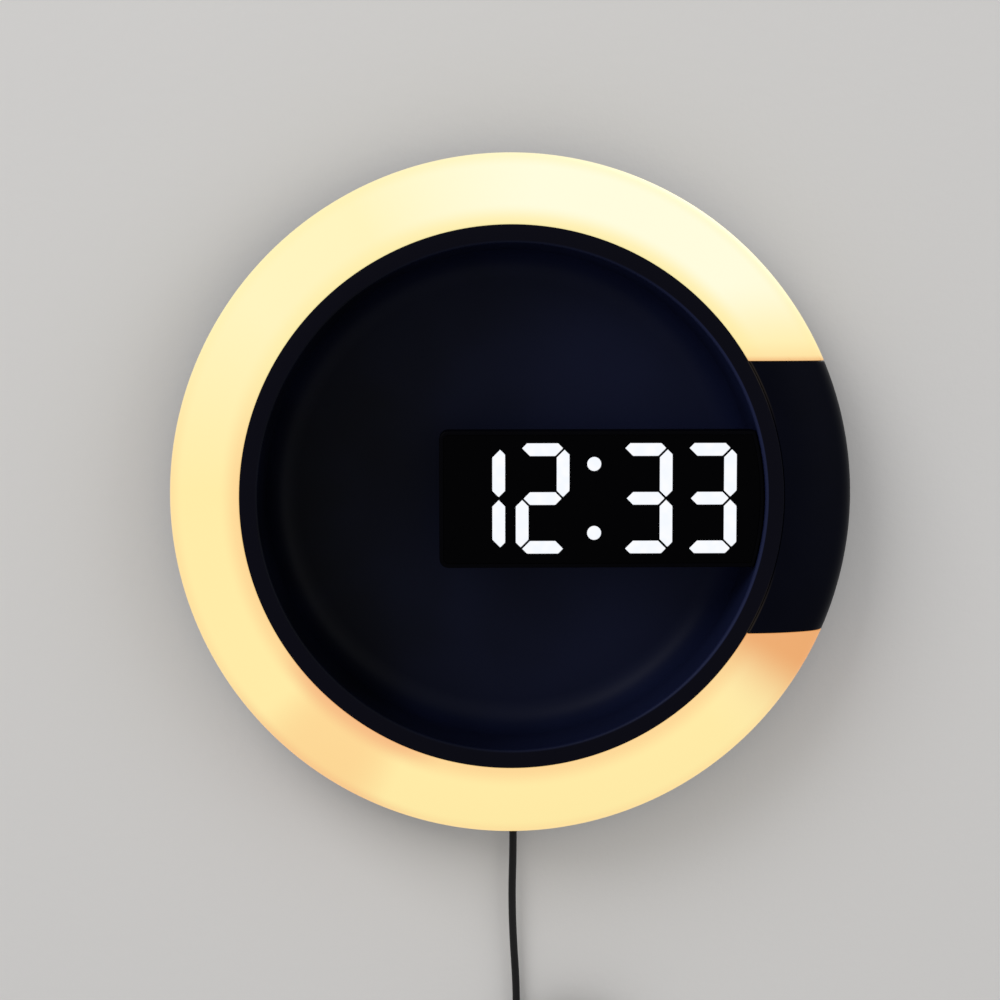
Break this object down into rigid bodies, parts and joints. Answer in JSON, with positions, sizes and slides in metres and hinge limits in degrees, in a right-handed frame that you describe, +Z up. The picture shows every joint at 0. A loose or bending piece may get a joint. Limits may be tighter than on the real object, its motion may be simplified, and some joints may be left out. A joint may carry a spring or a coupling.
{
  "type": "digital wall clock",
  "caption": "Round digital wall clock: a warm lit band round a deep dark bowl, and a slim display slab with large lit digits that reaches in from the right; runs on a thin USB lead.",
  "frame": {"origin": "centre of the round back face, on the axis of the lit ring, where the clock meets the wall", "axes": "+Y points back into the wall, so the clock faces -Y; +X is to the right for a viewer in front; +Z is up"},
  "size_m": [0.26, 0.042, 0.425],
  "materials": {
    "dark_body": "satin",
    "lit_band": "milky satin",
    "display_face": "gloss",
    "digit_light": "milky gloss",
    "white_reflector": "matte",
    "white_board": "satin",
    "green_board": "satin",
    "emitter": "gloss",
    "chip_black": "matte",
    "bright_metal": "bright",
    "screw_steel": "satin",
    "contact_metal": "bright",
    "socket_white": "matte",
    "ribbon_grey": "satin",
    "wire_insulation": "matte",
    "button_grey": "satin",
    "cap_dark": "satin",
    "cord_dark": "matte",
    "tie_black": "matte"
  },
  "bodies": {
    "clock": {"rear_housing": "dark_body", "front_shell": "dark_body", "light_diffuser": "lit_band", "side_cover": "dark_body", "reflector_tray": "white_reflector", "ring_led_board": "white_board", "ring_leds": "emitter", "ring_wires": "wire_insulation", "display_case": "dark_body", "display_window": "display_face", "segment_reflector": "white_reflector", "digit_hour_tens": "digit_light", "digit_hour_units": "digit_light", "digit_minute_tens": "digit_light", "digit_minute_units": "digit_light", "colon_dots": "digit_light", "display_board": "green_board", "segment_leds": "emitter", "display_driver_chip": "chip_black", "infrared_receiver": "chip_black", "main_board": "green_board", "controller_chip": "chip_black", "clock_crystal": "bright_metal", "buzzer": "chip_black", "smoothing_capacitor": "bright_metal", "thermistor": "contact_metal", "supply_header": "socket_white", "ribbon_sockets": "socket_white", "display_ribbon": "ribbon_grey", "supply_wires": "wire_insulation", "tact_switches": "chip_black", "coin_cell": "bright_metal", "cell_contact_minus": "contact_metal", "cell_contact_plus": "contact_metal", "housing_screws": "screw_steel", "display_screws": "screw_steel", "board_screws": "screw_steel", "cord_grommet": "cord_dark", "power_lead": "cord_dark", "power_lead_coil": "cord_dark", "coil_tie": "tie_black", "power_lead_tail": "cord_dark", "usb_plug": "cord_dark", "usb_plug_shell": "bright_metal", "usb_tongue": "socket_white"},
    "set_button": {"set_button": "button_grey"},
    "up_button": {"up_button": "button_grey"},
    "down_button": {"down_button": "button_grey"},
    "lamp_button": {"lamp_button": "button_grey"},
    "cell_cap": {"coin_cell_cap": "cap_dark"}
  },
  "joints": [
    {"name": "set_button_press", "type": "slide", "parent": "clock", "child": "set_button", "axis": [0, -1, 0], "range_m": [0, 0.0005], "stiffness_N_per_m": 1000},
    {"name": "up_button_press", "type": "slide", "parent": "clock", "child": "up_button", "axis": [0, -1, 0], "range_m": [0, 0.0005], "stiffness_N_per_m": 1000},
    {"name": "down_button_press", "type": "slide", "parent": "clock", "child": "down_button", "axis": [0, -1, 0], "range_m": [0, 0.0005], "stiffness_N_per_m": 1000},
    {"name": "lamp_button_press", "type": "slide", "parent": "clock", "child": "lamp_button", "axis": [0, -1, 0], "range_m": [0, 0.0005], "stiffness_N_per_m": 1000},
    {"name": "cell_cap_turn", "type": "hinge", "parent": "clock", "child": "cell_cap", "pos_m": [0.1095, 0, -0.024], "axis": [0, 1, 0], "range_deg": [0, 30]}
  ]
}
